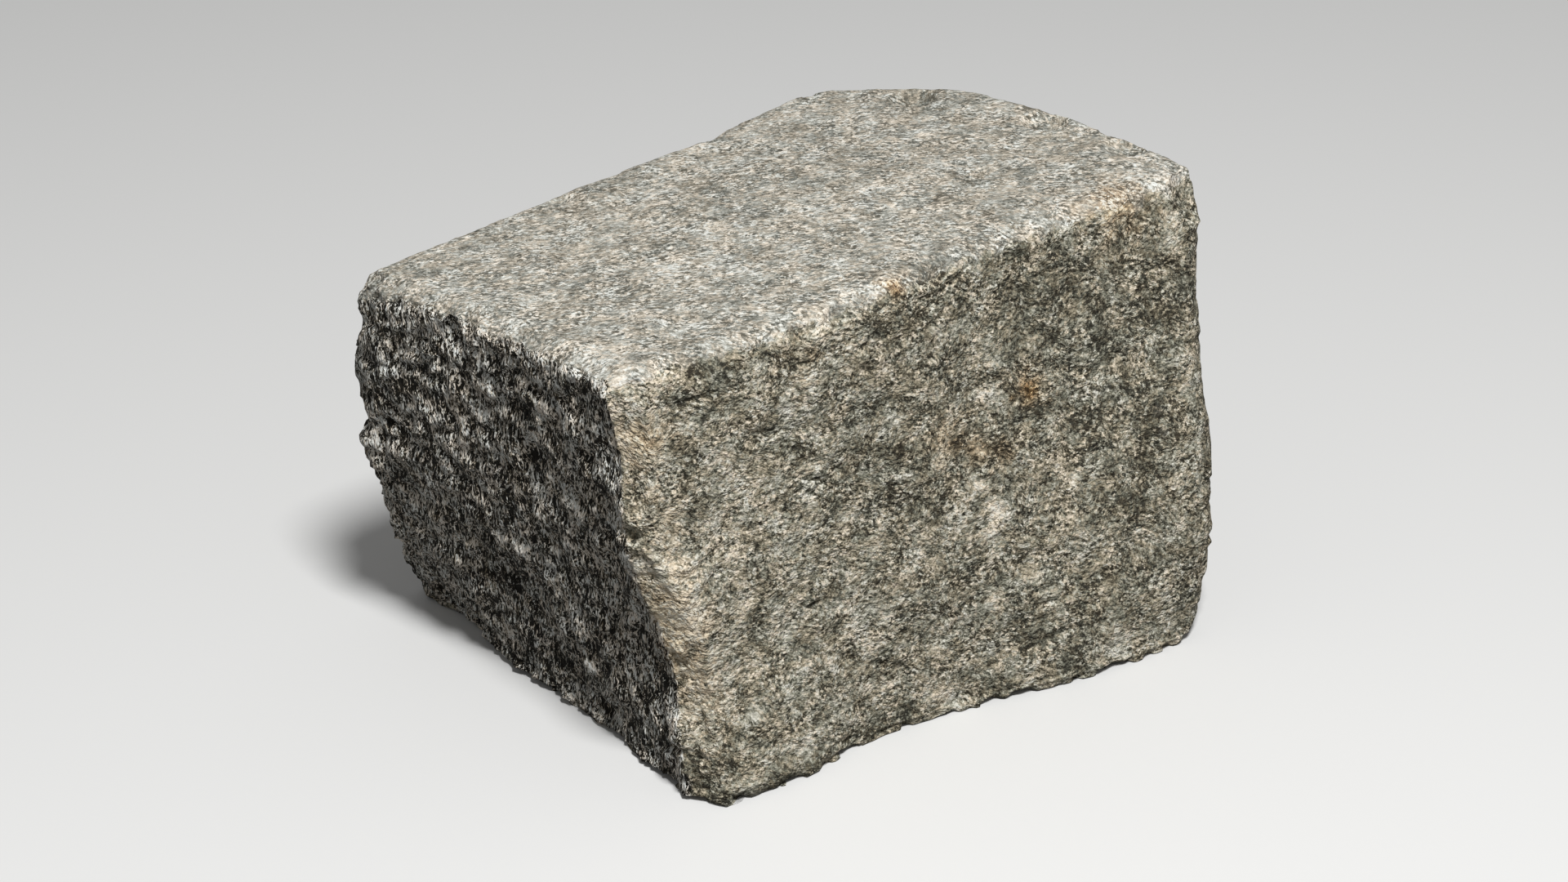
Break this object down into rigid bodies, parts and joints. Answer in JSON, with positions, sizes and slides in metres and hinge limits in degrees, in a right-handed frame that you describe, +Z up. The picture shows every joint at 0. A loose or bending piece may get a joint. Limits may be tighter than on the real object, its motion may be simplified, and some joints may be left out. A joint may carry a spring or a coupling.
{
  "type": "cobblestone",
  "caption": "Large split granite sett with rough cleft sides, a worn gently rounded top and a flat bed, for paving or edging",
  "frame": {"origin": "middle of the stone's box in X and Y, on its bed at Z = 0", "axes": "+X along the stone's length to the end at the right of the picture, +Y away from its front face, +Z up out of its worn top"},
  "size_m": [0.2301, 0.1714, 0.1477],
  "materials": {
    "granite": "matte, grainy"
  },
  "bodies": {
    "root": {"cobblestone": "granite"}
  },
  "joints": []
}
